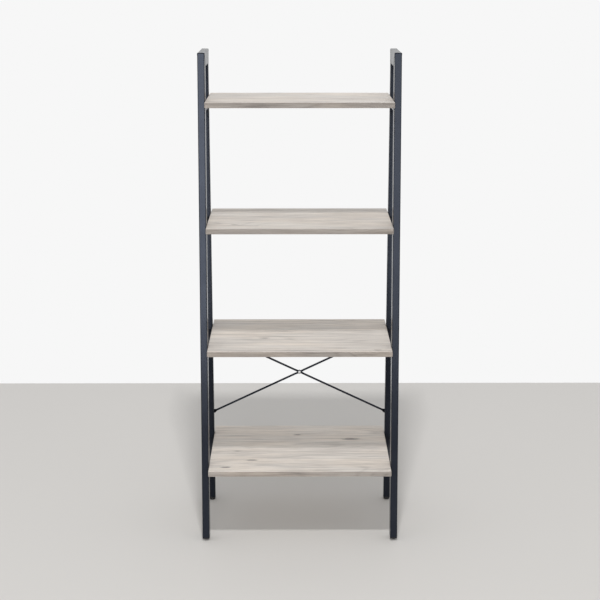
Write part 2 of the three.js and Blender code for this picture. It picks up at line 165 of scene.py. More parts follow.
def add_node(tree, kind, inputs=None, **settings):
    """A node of that kind.  An input that is another node's socket is linked, and any
    other input value is set on the socket."""
    node = tree.nodes.new(kind)
    for key, value in settings.items():
        setattr(node, key, value)
    for key, value in (inputs or {}).items():
        if isinstance(value, bpy.types.NodeSocket):
            tree.links.new(value, node.inputs[key])
        else:
            node.inputs[key].default_value = value
    return node


def noise(tree, vector, scale, detail=2.0, roughness=0.5, stretch=(1, 1, 1)):
    """Noise between 0 and 1 on a position that is first multiplied by stretch."""
    if stretch != (1, 1, 1):
        vector = add_node(
            tree, "ShaderNodeVectorMath", {0: vector, 1: stretch}, operation="MULTIPLY"
        ).outputs[0]
    return add_node(tree, "ShaderNodeTexNoise", {
        "Vector": vector, "Scale": scale, "Detail": detail, "Roughness": roughness,
    }).outputs["Fac"]


def between(tree, value, low, high, to_low=0.0, to_high=1.0):
    """value from low..high to to_low..to_high, with soft ends."""
    return add_node(tree, "ShaderNodeMapRange", {
        "Value": value, "From Min": low, "From Max": high, "To Min": to_low, "To Max": to_high,
    }, interpolation_type="SMOOTHSTEP").outputs["Result"]


def calculate(tree, operation, a, b=0.0, c=0.0):
    """The result of a Math node on one to three numbers."""
    return add_node(
        tree, "ShaderNodeMath", {0: a, 1: b, 2: c}, operation=operation
    ).outputs[0]


def blend_colour(tree, share, a, b, kind="MIX"):
    """Colour a, with a share of colour b laid over it."""
    return add_node(
        tree, "ShaderNodeMix", {0: share, 6: a, 7: b}, data_type="RGBA", blend_type=kind
    ).outputs[2]


def new_group(name, inputs, outputs):
    """A shader node group, its input node's sockets and its output node."""
    tree = bpy.data.node_groups.new(name, "ShaderNodeTree")
    for label, (kind, value) in inputs.items():
        socket = tree.interface.new_socket(label, in_out="INPUT", socket_type=kind)
        if value is not None:
            socket.default_value = value
    for label, kind in outputs.items():
        tree.interface.new_socket(label, in_out="OUTPUT", socket_type=kind)
    return tree, tree.nodes.new("NodeGroupInput").outputs, tree.nodes.new("NodeGroupOutput")


def new_material(name, base=(0.5, 0.5, 0.5), roughness=0.5, **shader_values):
    """A material with its Principled BSDF, ready for more nodes, and the position on
    the piece."""
    material = bpy.data.materials.new(name)
    material.use_nodes = True
    tree = material.node_tree
    shader = tree.nodes["Principled BSDF"]
    shader.inputs["Base Color"].default_value = (*base, 1)
    shader.inputs["Roughness"].default_value = roughness
    for key, value in shader_values.items():
        shader.inputs[key.replace("_", " ")].default_value = value
    place = tree.nodes.new("ShaderNodeTexCoord").outputs["Object"]
    return material, tree, shader, place


# A fine skin for moulded and coated surfaces: small soft bumps, a slightly cloudy tone
# and roughness, and a little dust where a surface looks up.
surface_group, given, result = new_group("fine_skin", {
    "Position": ("NodeSocketVector", None),
    "Colour": ("NodeSocketColor", (0.5, 0.5, 0.5, 1)),
    "Grain Size": ("NodeSocketFloat", 0.001),
    "Roughness": ("NodeSocketFloat", 0.4),
    "Dust": ("NodeSocketFloat", 0.1),
}, {"Colour": "NodeSocketColor", "Roughness": "NodeSocketFloat", "Height": "NodeSocketFloat"})
finer = calculate(surface_group, "DIVIDE", 1.0, given["Grain Size"])
peel = noise(surface_group, given["Position"], finer, 1.5, 0.5)
cloud = noise(surface_group, given["Position"], 14.0, 3.0, 0.6)
looks_up = add_node(
    surface_group, "ShaderNodeSeparateXYZ",
    {0: add_node(surface_group, "ShaderNodeNewGeometry").outputs["Normal"]},
).outputs["Z"]
dust = calculate(
    surface_group, "MULTIPLY", between(surface_group, looks_up, 0.5, 1.0), given["Dust"]
)
dust = calculate(surface_group, "MULTIPLY", dust, between(surface_group, cloud, 0.3, 0.7))
shade = between(surface_group, cloud, 0.3, 0.7, 0.9, 1.12)
tinted = blend_colour(
    surface_group, 1.0, given["Colour"],
    add_node(surface_group, "ShaderNodeCombineColor", {0: shade, 1: shade, 2: shade}).outputs[0],
    "MULTIPLY",
)
surface_group.links.new(
    blend_colour(surface_group, dust, tinted, (0.32, 0.31, 0.30, 1)), result.inputs["Colour"]
)
surface_group.links.new(
    calculate(surface_group, "ADD", given["Roughness"], between(
        surface_group, cloud, 0.25, 0.75, -0.02, 0.02)), result.inputs["Roughness"]
)
surface_group.links.new(peel, result.inputs["Height"])


def skinned(name, colour, roughness, grain, bump, dust_share, **shader_values):
    """A material that wears the fine skin, with bumps of size grain and height bump."""
    material, tree, shader, place = new_material(name, **shader_values)
    worn = add_node(tree, "ShaderNodeGroup", {
        "Position": place, "Colour": (*colour, 1), "Grain Size": grain,
        "Roughness": roughness, "Dust": dust_share,
    }, node_tree=surface_group)
    tree.links.new(worn.outputs["Colour"], shader.inputs["Base Color"])
    tree.links.new(worn.outputs["Roughness"], shader.inputs["Roughness"])
    bumps = add_node(tree, "ShaderNodeBump", {
        "Strength": 1.0, "Distance": bump, "Height": worn.outputs["Height"],
    })
    tree.links.new(bumps.outputs["Normal"], shader.inputs["Normal"])
    return material


powder_coat = skinned(
    "powder_coat_blue_black", (0.0042, 0.0050, 0.0080), 0.25, 0.0012, 0.00003, 0.05,
    Specular_IOR_Level=0.38, Specular_Tint=(0.70, 0.79, 1.0, 1.0)
)

weld_loops = {side: [] for side in SIDES}

for side, sign in SIDES.items():
    post_low, post_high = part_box(f"{side}_front_post")
    rear_low, rear_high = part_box(f"{side}_rear_post")
    rail_low, rail_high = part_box(f"{side}_top_rail")
    x = (post_low.x + post_high.x) / 2
    face_at_floor = post_low.y - LEAN * post_low.z
    front_corner = corner_plane(
        (face_at_floor + LEAN * rail_high.z, rail_high.z),
        (face_at_floor + LEAN * rail_low.z + LEVEL_DEPTH, rail_low.z),
    )
    rear_corner = corner_plane((rear_high.y, rail_high.z), (rear_low.y, rail_low.z))
    front_centre = np.array((x, face_at_floor + LEVEL_DEPTH / 2, 0))
    rear_centre = np.array((x, (rear_low.y + rear_high.y) / 2, 0))
    rail_centre = np.array((x, 0, (rail_low.z + rail_high.z) / 2))
    rail_height = rail_high.z - rail_low.z

    post = skin(f"{side}_front_post_tube", [tube(
        front_centre, LEAN_AXIS, LEAN_DEEP, FRONT_DEPTH, level_plane(post_low.z), front_corner
    )], powder_coat)
    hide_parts(f"{side}_front_post")
    upright = skin(f"{side}_rear_post_tube", [tube(
        rear_centre, AXIS_UP, AXIS_BACK, rear_high.y - rear_low.y,
        level_plane(rear_low.z), rear_corner,
    )], powder_coat)
    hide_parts(f"{side}_rear_post")
    top_rail = skin(f"{side}_top_rail_tube", [tube(
        rail_centre, AXIS_BACK, AXIS_UP, rail_height, front_corner, rear_corner
    )], powder_coat)
    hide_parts(f"{side}_top_rail")
    weld_loops[side] += [
        (rail_centre, AXIS_BACK, AXIS_UP, rail_height, corner, CORNER_WELD)
        for corner in (front_corner, rear_corner)
    ]

    # the side rails, with the two plates that carry each board
    for level in LEVELS:
        low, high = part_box(f"{side}_side_rail_{level}")
        centre = np.array((x, 0, high.z - TUBE_WIDTH / 2))
        behind = (np.array((0, face_at_floor + LEVEL_DEPTH, 0)), np.cross(ACROSS, LEAN_AXIS))
        before = (np.array((0, rear_low.y, 0)), AXIS_BACK)
        parts = [tube(centre, AXIS_BACK, AXIS_UP, TUBE_WIDTH, behind, before)]
        under_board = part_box(f"{level}_board")[0].z - PLATE_EDGE
        for end in ENDS:
            screw_low, screw_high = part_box(f"{level}_board_screw_{side}_{end}")
            middle = (screw_low + screw_high) / 2
            shift = sign * PLATE_SHIFT
            outer = rounded_outline(PLATE_LENGTH, PLATE_WIDTH, PLATE_CORNER)
            turn = np.arctan2(outer[:, 1], outer[:, 0] - shift)
            hole = np.stack([np.cos(turn), np.sin(turn)], 1) * PLATE_HOLE_RADIUS - (shift, 0)
            trimmed = rounded_outline(
                PLATE_LENGTH - 2 * PLATE_EDGE, PLATE_WIDTH - 2 * PLATE_EDGE,
                PLATE_CORNER - PLATE_EDGE,
            )
            layers = [
                (trimmed, 0), (outer, -PLATE_EDGE), (outer, PLATE_EDGE - PLATE_THICKNESS),
                (trimmed, -PLATE_THICKNESS), (hole, -PLATE_THICKNESS), (hole, 0),
            ]
            parts.append((np.stack([np.column_stack([
                middle.x + shift + ring[:, 0], middle.y + ring[:, 1],
                np.full(len(ring), under_board + z),
            ]) for ring, z in layers]), "loop"))
        rail = skin(f"{side}_side_rail_{level}_tube", parts, powder_coat)
        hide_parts(f"{side}_side_rail_{level}")
        weld_loops[side] += [
            (centre, AXIS_BACK, AXIS_UP, TUBE_WIDTH, plane, RAIL_WELD)
            for plane in (behind, before)
        ]

# ---- welds -------------------------------------------------------------------------
# The tubes are joined by small MIG beads that run round each joint, dressed nearly
# flush before the coating goes on, so only a low rippled ridge is left.

BEAD_RADIUS = 0.0016
BEAD_CORNER = 0.0012  # how tightly a bead turns round a tube's corner
RIPPLE_LENGTH = 0.0019
RIPPLE_SWELL = 0.1


def bead(centre, axis, deep, depth, plane, proud):
    """A closed bead round a tube where a plane cuts it.  Its path is the tube's outline,
    drawn in so that only proud shows, and its radius swells once in each ripple."""
    inset = BEAD_RADIUS - proud
    outline = rounded_outline(TUBE_WIDTH - 2 * inset, depth - 2 * inset, BEAD_CORNER)
    path = slide_to(centre + outline[:, :1] * ACROSS + outline[:, 1:] * deep, axis, plane)
    loop = np.vstack([path, path[:1]])
    run = np.concatenate([[0], np.cumsum(np.linalg.norm(np.diff(loop, axis=0), axis=1))])
    ripples = round(run[-1] / RIPPLE_LENGTH)
    at = np.linspace(0, run[-1], 5 * ripples, endpoint=False)
    path = np.stack([np.interp(at, run, loop[:, k]) for k in range(3)], 1)
    normal = plane[1] / np.linalg.norm(plane[1])
    forward = np.roll(path, -1, 0) - np.roll(path, 1, 0)
    forward /= np.linalg.norm(forward, axis=1, keepdims=True)
    outward = np.cross(forward, normal)
    swell = BEAD_RADIUS * (1 + RIPPLE_SWELL * np.cos(2 * np.pi * ripples * at / run[-1]))
    turn = np.linspace(0, 2 * np.pi, 8, endpoint=False)
    return (
        path[:, None]
        + swell[:, None, None] * np.cos(turn)[None, :, None] * outward[:, None]
        + swell[:, None, None] * np.sin(turn)[None, :, None] * normal
    ), "loop"


for side, loops in weld_loops.items():
    skin(f"{side}_frame_welds", [bead(*loop) for loop in loops], powder_coat, sharp=60)

# ---- end plugs and levelling feet ----------------------------------------------------
# A moulded nylon plug closes the foot of each post and holds a threaded insert.  The
# levelling foot is a ribbed nylon pad on an M6 zinc-plated stud that screws into it.

black_nylon = skinned("black_nylon", (0.011, 0.011, 0.012), 0.52, 0.0007, 0.00005, 0.05)
zinc_plate = skinned(
    "bright_zinc_plate", (0.80, 0.81, 0.82), 0.30, 0.0020, 0.00001, 0.0, Metallic=1.0
)
PAD_RADIUS = 0.0090
PAD_HEIGHT = 0.0060
PAD_FILLET = 0.0012
RIBS = 28
RIB_DEPTH = 0.00022
CUP_RADIUS = 0.0050  # the shallow cup round the stud in the pad's top
CUP_DEPTH = 0.0008
STUD_RADIUS = 0.0030
STUD_PITCH = 0.001
STUD_THREAD_DEPTH = 0.00055
STUD_ROOT = 0.0048  # where the stud begins, inside the pad
FLANGE = 0.003
INSERT_BORE = 0.0033


def turned(place, axis, profile, sides, form=None, ends="points"):
    """A turned shape: each (radius, height) pair of the profile becomes a ring about the
    axis, and form(radius, height, angle) may move a ring's points in or out."""
    radius, height = np.array(profile, float).T
    angle = np.linspace(0, 2 * np.pi, sides, endpoint=False)
    radius = np.repeat(radius[:, None], sides, 1)
    height = np.repeat(height[:, None], sides, 1)
    if form:
        radius, height = form(radius, height, np.broadcast_to(angle, radius.shape))
    axis = np.array(axis, float)
    u = AXIS_UP if abs(axis[2]) < 0.5 else ACROSS
    v = np.cross(axis, u)
    return (
        np.array(place) + height[..., None] * axis
        + radius[..., None] * (np.cos(angle)[:, None] * u + np.sin(angle)[:, None] * v)
    ), ends


def rounded_profile(*corners):
    """A profile through (radius, height, fillet) corners.  Each fillet is a parabola that
    starts and ends its own length away from the corner, in four steps."""
    points = np.array([c[:2] for c in corners], float)
    out = [points[0]]
    for k in range(1, len(points) - 1):
        before, here, after = points[k - 1], points[k], points[k + 1]
        reach = corners[k][2]
        a = here + (before - here) / np.linalg.norm(before - here) * reach
        b = here + (after - here) / np.linalg.norm(after - here) * reach
        t = np.linspace(0, 1, 5)[:, None]
        out += list((1 - t) ** 2 * a + 2 * t * (1 - t) * here + t ** 2 * b)
    return out + [points[-1]]


def thread(pitch, depth):
    """A form that cuts a thread: the radius rises and falls once in each pitch, and
    the wave turns round the axis with the angle."""
    def form(radius, height, angle):
        wave = np.abs(((height / pitch - angle / (2 * np.pi)) % 1) * 2 - 1)
        return np.where(radius > 0.0001, radius - depth * wave, radius), height
    return form


def grip_ribs(radius, height, angle):
    """A form that ribs the pad's rim: shallow flutes, a cosine round it, that fade out
    where the fillets have drawn the rim in by 0.8 mm."""
    rim = np.clip((radius - PAD_RADIUS + 0.0008) / 0.0008, 0, 1)
    return radius - RIB_DEPTH * rim * (0.5 + 0.5 * np.cos(RIBS * angle)), height


for side in SIDES:
    for end in ENDS:
        foot = f"{side}_{end}_foot"
        low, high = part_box(foot)
        x, y = (low.x + high.x) / 2, (low.y + high.y) / 2
        cup_floor = PAD_HEIGHT - CUP_DEPTH
        pad = rounded_profile(
            (0, 0, 0), (PAD_RADIUS, 0, PAD_FILLET), (PAD_RADIUS, PAD_HEIGHT, PAD_FILLET),
            (CUP_RADIUS, PAD_HEIGHT, 0.0004), (CUP_RADIUS - 0.0004, cup_floor, 0.0004),
            (0, cup_floor, 0),
        )
        pad = skin(
            f"{foot}_pad", [turned((x, y, 0), AXIS_UP, pad, 4 * RIBS, grip_ribs)],
            black_nylon, foot,
        )
        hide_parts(foot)
        steps = np.arange(STUD_ROOT, high.z - 0.0007, STUD_PITCH / 6)
        stud = [(0, STUD_ROOT)] + [(STUD_RADIUS, z) for z in steps]
        stud += [(0.0024, high.z - 0.0002), (0.0022, high.z), (0, high.z)]
        skin(
            f"{foot}_stud",
            [turned((x, y, 0), AXIS_UP, stud, 24, thread(STUD_PITCH, STUD_THREAD_DEPTH))],
            zinc_plate, foot, 50,
        )

        # the plug: a flange as big as the tube, a core that follows the lean of the tube,
        # and a round bore through both
        low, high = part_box(f"{side}_{end}_plug")
        deep, slope = (LEVEL_DEPTH, LEAN) if end == "front" else (TUBE_WIDTH, 0)
        flange_top = low.z + FLANGE

        def outline(inset, z, radius):
            """The plug's outline, drawn in by inset, at height z."""
            ring = rounded_outline(TUBE_WIDTH - 2 * inset, deep - 2 * inset, radius)
            drift = slope * max(z - flange_top, 0)
            return np.column_stack([
                ring[:, 0] + x, ring[:, 1] + y + drift, np.full(len(ring), z),
            ])

        def bore(z, radius):
            """A circle at height z, with a point for each point of the outline."""
            ring = rounded_outline(TUBE_WIDTH, deep, TUBE_CORNER)
            turn = np.arctan2(ring[:, 1] / deep, ring[:, 0] / TUBE_WIDTH)
            return np.column_stack([
                x + radius * np.cos(turn), y + radius * np.sin(turn), np.full(len(ring), z),
            ])

        plug = np.stack([
            bore(low.z, INSERT_BORE + 0.0001), outline(0.0007, low.z, 0.0015),
            outline(0.0002, low.z + 0.0002, 0.0019), outline(0, low.z + 0.0007, TUBE_CORNER),
            outline(0, flange_top, TUBE_CORNER), outline(0.0015, flange_top, 0.0006),
            outline(0.0015, high.z - 0.001, 0.0006), outline(0.0022, high.z, 0.0005),
            bore(high.z, INSERT_BORE), bore(low.z + 0.0004, INSERT_BORE),
        ])
        plug = skin(
            f"{side}_{end}_plug_body", [(plug, "loop")], black_nylon
        )
        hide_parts(f"{side}_{end}_plug")

# ---- boards ------------------------------------------------------------------------
# Four 15 mm chipboard boards with a pressed greige oak decor on their faces and a 0.6 mm
#  band of the same decor on all four edges, in darker colours that are painted shade for
#  edges that get less of the light from above than the faces.  They get deeper towards the floor.

EDGE_RADIUS = 0.0010
BAND_THICKNESS = 0.0006
BAND_LIP = 0.0004  # the band starts this far in from the board's two faces


def board_shape(low, high):
    """A slab with softened edges.  Rings of the Y-Z outline stand along X; the first and
    last few are drawn in along a quarter circle."""
    depth, thick = high[1] - low[1], high[2] - low[2]
    y, z = (low[1] + high[1]) / 2, (low[2] + high[2]) / 2
    turn = np.linspace(0, np.pi / 2, 5)
    inset = EDGE_RADIUS * (1 - np.sin(turn))
    along = EDGE_RADIUS * (1 - np.cos(turn))
    stations = [(low[0] + a, i) for a, i in zip(along, inset)]
    straight = EDGE_RADIUS + BAND_THICKNESS
    stations += [(low[0] + straight, 0), (high[0] - straight, 0)]
    stations += [(high[0] - a, i) for a, i in zip(along[::-1], inset[::-1])]
    rings = []
    for x, i in stations:
        ring = rounded_outline(depth - 2 * i, thick - 2 * i, max(EDGE_RADIUS - i, 0.00002))
        rings.append(np.column_stack([np.full(len(ring), x), y + ring[:, 0], z + ring[:, 1]]))
    return np.stack(rings), "caps"


# Oak figure on a position in metres, with the grain along X: planks of slow warm and
# grey patches, wandering streaks, arched rings in some places, fine fibres, short dark
# pores, and faint marks of the saw that cross the grain.  Each stretch gives the waves
# in a metre along X, Y and Z.
oak_group, given, result = new_group("oak_figure", {
    "Position": ("NodeSocketVector", None),
    "Shift": ("NodeSocketVector", None),
    "Knot": ("NodeSocketFloat", 0.0),
    "Saw Marks": ("NodeSocketFloat", 0.14),
    "Sawn": ("NodeSocketFloat", 0.0),
    "Warm": ("NodeSocketColor", None),
    "Cool": ("NodeSocketColor", None),
    "Dark": ("NodeSocketColor", None),
}, {"Colour": "NodeSocketColor", "Height": "NodeSocketFloat"})
place = add_node(
    oak_group, "ShaderNodeVectorMath", {0: given["Position"], 1: given["Shift"]}, operation="ADD"
).outputs[0]
wander = noise(oak_group, place, 1.0, 2.0, 0.5, (3.0, 11.0, 11.0))
lift = calculate(oak_group, "MULTIPLY_ADD", wander, 0.020, -0.010)
lift = calculate(oak_group, "MULTIPLY_ADD", given["Knot"], 0.010, lift)
bent = add_node(oak_group, "ShaderNodeVectorMath", {
    0: place,
    1: add_node(oak_group, "ShaderNodeCombineXYZ", {0: 0.0, 1: lift, 2: lift}).outputs[0],
}, operation="ADD").outputs[0]
patch = noise(oak_group, bent, 1.0, 2.0, 0.5, (4.5, 16.0, 16.0))
broad = noise(oak_group, bent, 1.0, 3.0, 0.6, (3.6, 55.0, 55.0))
streak = noise(oak_group, bent, 1.0, 4.0, 0.7, (8.0, 190.0, 190.0))
fibre = noise(oak_group, bent, 1.0, 2.0, 0.6, (30.0, 900.0, 900.0))
pores = noise(oak_group, bent, 1.0, 1.0, 0.5, (90.0, 1900.0, 1900.0))
split = add_node(oak_group, "ShaderNodeSeparateXYZ", {0: place}).outputs
across = add_node(oak_group, "ShaderNodeSeparateXYZ", {0: bent}).outputs["Y"]
arch = noise(oak_group, place, 1.0, 1.0, 0.4, (2.4, 8.0, 8.0))
rings = calculate(oak_group, "MULTIPLY_ADD", across, 75.0, calculate(
    oak_group, "MULTIPLY", arch, 22.0))
ring_line = between(oak_group, calculate(oak_group, "PINGPONG", rings, 1.0), 0.55, 1.0)
ring_where = between(
    oak_group, noise(oak_group, place, 1.0, 2.0, 0.5, (4.1, 17.0, 17.0)), 0.42, 0.62
)
ring_line = calculate(oak_group, "MULTIPLY", ring_line, ring_where)
saw = calculate(oak_group, "MULTIPLY_ADD", split["X"], 150.0, calculate(
    oak_group, "MULTIPLY_ADD", split["Y"], 80.0, calculate(oak_group, "MULTIPLY", arch, 3.0)))
saw_line = between(oak_group, calculate(oak_group, "PINGPONG", saw, 0.5), 0.22, 0.5)
saw_where = between(
    oak_group, noise(oak_group, place, 1.0, 1.0, 0.5, (6.0, 19.0, 1.0)), 0.50, 0.62
)
saw_where = calculate(oak_group, "MULTIPLY_ADD", given["Sawn"], 1.3, saw_where)
saw_line = calculate(oak_group, "MULTIPLY", saw_line, saw_where)
saw_line = calculate(oak_group, "MULTIPLY", saw_line, given["Saw Marks"])
tone = calculate(oak_group, "MULTIPLY", between(oak_group, broad, 0.32, 0.70), 0.26)
tone = calculate(oak_group, "MULTIPLY_ADD", between(oak_group, streak, 0.40, 0.68), 0.34, tone)
tone = calculate(oak_group, "MULTIPLY_ADD", ring_line, 0.18, tone)
tone = calculate(oak_group, "ADD", saw_line, tone)
tone = calculate(oak_group, "MULTIPLY_ADD", fibre, 0.14, tone)
tone = calculate(oak_group, "MULTIPLY_ADD", between(oak_group, pores, 0.62, 0.76), 0.20, tone)
tone = calculate(oak_group, "MULTIPLY_ADD", given["Knot"], 0.8, tone)
tone = calculate(oak_group, "MINIMUM", calculate(oak_group, "SUBTRACT", tone, 0.06), 1.0)
pale = blend_colour(
    oak_group, between(oak_group, patch, 0.36, 0.62), given["Warm"], given["Cool"]
)
oak_group.links.new(
    blend_colour(oak_group, tone, pale, given["Dark"]), result.inputs["Colour"]
)
oak_group.links.new(calculate(oak_group, "SUBTRACT", 1.0, tone), result.inputs["Height"])

# One spot, such as a knot: 1 at its middle, fading over a ragged ellipse that is longer
# along the grain.
spot_group, given, result = new_group("oak_spot", {
    "Position": ("NodeSocketVector", None),
    "Middle": ("NodeSocketVector", None),
    "Size": ("NodeSocketFloat", None),
}, {"Spot": "NodeSocketFloat"})
away = add_node(
    spot_group, "ShaderNodeVectorMath", {0: given["Position"], 1: given["Middle"]},
    operation="SUBTRACT",
).outputs[0]
away = add_node(
    spot_group, "ShaderNodeVectorMath", {0: away, 1: (0.36, 1.0, 0.0)}, operation="MULTIPLY"
).outputs[0]
away = add_node(spot_group, "ShaderNodeVectorMath", {0: away}, operation="LENGTH").outputs["Value"]
ragged = noise(spot_group, given["Position"], 160.0, 2.0)
away = calculate(spot_group, "MULTIPLY_ADD", ragged, 0.004, away)
away = calculate(spot_group, "DIVIDE", away, given["Size"])
spot_group.links.new(between(spot_group, away, 1.4, 0.3), result.inputs["Spot"])

# For each board: the shift of its figure, the joints of its printed planks (metres from
# its front edge), and its knots (metres along X, metres from its front edge, size).
decor = {
    "bottom": ((0.0, 0.0, 0.0), (0.160, 0.292), [
        (-0.006, 0.303, 0.007), (0.155, 0.267, 0.011), (-0.183, 0.165, 0.006),
        (-0.139, 0.091, 0.008), (-0.212, 0.035, 0.007),
    ]),
    "lower": ((1.7, 0.9, 0.4), (0.228, 0.014), [(-0.101, 0.141, 0.007), (0.218, 0.018, 0.006)]),
    "upper": ((3.1, 2.3, 0.2), (0.196,), [(-0.183, 0.064, 0.006)]),
    "top": ((4.6, 3.2, 0.8), (0.122,), []),
}
# where the saw marks are plainest: on the bottom board, to the right of its middle
SAWN_MIDDLE, SAWN_SIZE = (0.170, 0.180), 0.045
PLANK_SHIFT = (0.73, 0.41, 0.0)  # how far the figure jumps from one printed plank to the next
FACE_COLOURS = {
    "Warm": (0.80, 0.725, 0.645, 1), "Cool": (0.75, 0.70, 0.645, 1),
    "Dark": (0.26, 0.235, 0.22, 1),
}
# the band's colours are about half as bright as the face's: painted shade for edges lit less than
# the tops
BAND_COLOURS_PAINTED_SHADE = {
    "Warm": (0.400, 0.349, 0.302, 1), "Cool": (0.372, 0.335, 0.302, 1),
    "Dark": (0.11, 0.095, 0.085, 1),
}
BAND_FIGURE_SHIFT = 0.37  # so that the band shows another stretch of the figure
SEAM_HALF_WIDTH = 0.0018
SEAM_CORE = 0.0004  # half the width over which a seam has its full tone
SEAM_COLOUR = (0.30, 0.26, 0.23, 1)
GLUE_COLOUR = (0.2, 0.17, 0.14, 1)

for level in LEVELS:
    low, high = (np.array(corner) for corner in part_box(f"{level}_board"))
    shift, joints, knots = decor[level]
    material, tree, shader, position = new_material(
        f"oak_decor_{level}", roughness=0.5, Specular_IOR_Level=0.35
    )
    split = add_node(tree, "ShaderNodeSeparateXYZ", {0: position}).outputs
    plank, seam = 0.0, 0.0
    for joint in joints:
        from_joint = calculate(tree, "SUBTRACT", split["Y"], low[1] + joint)
        plank = calculate(tree, "ADD", calculate(tree, "GREATER_THAN", from_joint, 0.0), plank)
        line = between(
            tree, calculate(tree, "ABSOLUTE", from_joint), SEAM_HALF_WIDTH, SEAM_CORE
        )
        seam = calculate(tree, "MAXIMUM", line, seam)
    knotted = 0.0
    for x, y, size in knots:
        knot = add_node(tree, "ShaderNodeGroup", {
            "Position": position, "Middle": (x, low[1] + y, 0), "Size": size,
        }, node_tree=spot_group)
        knotted = calculate(tree, "MAXIMUM", knot.outputs["Spot"], knotted)
    sawn = 0.0
    if level == "bottom":
        sawn = add_node(tree, "ShaderNodeGroup", {
            "Position": position, "Middle": (SAWN_MIDDLE[0], low[1] + SAWN_MIDDLE[1], 0),
            "Size": SAWN_SIZE,
        }, node_tree=spot_group).outputs["Spot"]
    per_plank = add_node(tree, "ShaderNodeVectorMath", {
        0: add_node(tree, "ShaderNodeCombineXYZ", {0: plank, 1: plank, 2: 0.0}).outputs[0],
        1: PLANK_SHIFT, 2: shift,
    }, operation="MULTIPLY_ADD").outputs[0]
    top_figure = add_node(tree, "ShaderNodeGroup", {
        "Position": position, "Shift": per_plank, "Knot": knotted, "Sawn": sawn,
        **FACE_COLOURS,
    }, node_tree=oak_group)
    # the band's figure, in the darker colours that paint the shade on the edges
    band_figure = add_node(tree, "ShaderNodeGroup", {
        "Position": add_node(tree, "ShaderNodeMix", {
            0: add_node(tree, "ShaderNodeAttribute", attribute_name="end_band").outputs["Fac"],
            4: position,
            5: add_node(tree, "ShaderNodeCombineXYZ", {
                0: split["Y"], 1: split["X"], 2: split["Z"]}).outputs[0],
        }, data_type="VECTOR").outputs[1],
        "Shift": tuple(np.array(shift) + BAND_FIGURE_SHIFT), "Saw Marks": 0.0,
        **BAND_COLOURS_PAINTED_SHADE,
    }, node_tree=oak_group)
    on_band = add_node(tree, "ShaderNodeAttribute", attribute_name="band").outputs["Fac"]
    colour = blend_colour(
        tree, calculate(tree, "MULTIPLY", seam, 0.45), top_figure.outputs["Colour"], SEAM_COLOUR
    )
    colour = blend_colour(
        tree, between(tree, on_band, 0.45, 0.55), colour, band_figure.outputs["Colour"]
    )
    glue = between(tree, calculate(tree, "ABSOLUTE", calculate(
        tree, "SUBTRACT", on_band, 0.5)), 0.5, 0.2)
    tree.links.new(
        blend_colour(tree, calculate(tree, "MULTIPLY", glue, 0.35), colour, GLUE_COLOUR),
        shader.inputs["Base Color"],
    )
    relief = calculate(tree, "SUBTRACT", top_figure.outputs["Height"], calculate(
        tree, "MULTIPLY", seam, 0.8))
    tree.links.new(add_node(tree, "ShaderNodeBump", {
        "Strength": 0.5, "Distance": 0.0002, "Height": relief,
    }).outputs["Normal"], shader.inputs["Normal"])
    tree.links.new(
        between(tree, top_figure.outputs["Height"], 0.0, 1.0, 0.60, 0.46),
        shader.inputs["Roughness"],
    )

    board = skin(f"{level}_board_panel", [board_shape(low, high)], material)
    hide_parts(f"{level}_board")
    points = np.empty(len(board.data.vertices) * 3)
    board.data.vertices.foreach_get("co", points)
    points = points.reshape(-1, 3)
    inner = np.minimum(points - low, high - points)
    for name, mask in {
        "band": (inner[:, :2].min(1) < BAND_THICKNESS) & (inner[:, 2] > BAND_LIP),
        "end_band": inner[:, 0] < BAND_THICKNESS,
    }.items():
        attribute = board.data.attributes.new(name, "FLOAT", "POINT")
        attribute.data.foreach_set("value", mask.astype(np.float32))

# ---- board screws --------------------------------------------------------------------
# Black pan-head wood screws go up through the plates into the boards, four to a board.

black_steel = skinned(
    "blackened_steel", (0.045, 0.046, 0.050), 0.38, 0.0008, 0.00001, 0.0, Metallic=0.85
)
SCREW_CROWN = 0.0024  # radius of the flat crown that holds the cross
SCREW_HEAD_RADIUS = 0.0040
SCREW_HEAD_HEIGHT = 0.0024
SCREW_SHANK_RADIUS = 0.0020
SCREW_PITCH = 0.0018
SCREW_THREAD_DEPTH = 0.0006
RECESS_DEPTH = 0.0014
RECESS_ARM = 0.00055  # half the width of an arm of the cross


def cross_recess(radius, height, angle):
    """A form that presses a cross into the head: points near either arm of the cross and
    inside the crown go up by the recess's depth, less towards the tips of the arms."""
    x, y = radius * np.cos(angle), radius * np.sin(angle)
    arm = np.clip((RECESS_ARM - np.minimum(np.abs(x), np.abs(y))) / 0.0002, 0, 1)
    reach = np.clip((SCREW_CROWN - radius) / 0.0008, 0, 1)
    return radius, height + RECESS_DEPTH * arm * reach


for level in LEVELS:
    nodes = [f"{level}_board_screw_{side}_{end}" for side in SIDES for end in ENDS]
    screws = []
    for node in nodes:
        low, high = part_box(node)
        place = ((low.x + high.x) / 2, (low.y + high.y) / 2, low.z)
        length = high.z - low.z
        head = [(r, 0) for r in np.linspace(0, SCREW_CROWN, 13)]
        head += rounded_profile(
            (SCREW_CROWN, 0, 0), (SCREW_HEAD_RADIUS, 0.0006, 0.0008),
            (SCREW_HEAD_RADIUS, SCREW_HEAD_HEIGHT, 0.0002),
            (0.0021, SCREW_HEAD_HEIGHT, 0.0001), (0.0021, 0.0028, 0),
        )[1:]
        screws.append(turned(place, AXIS_UP, head + [(0, 0.0028)], 48, cross_recess))
        shank = [(0, 0.0026), (0.0017, 0.0026)]
        rise = np.linspace(0.0030, length - 0.0030, 34)
        shank += [(SCREW_SHANK_RADIUS, h) for h in rise]
        shank += [(0.0011, length - 0.0012), (0, length)]
        screws.append(
            turned(place, AXIS_UP, shank, 16, thread(SCREW_PITCH, SCREW_THREAD_DEPTH))
        )
    screws = skin(f"{level}_board_screws", screws, black_steel)
    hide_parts(*nodes)

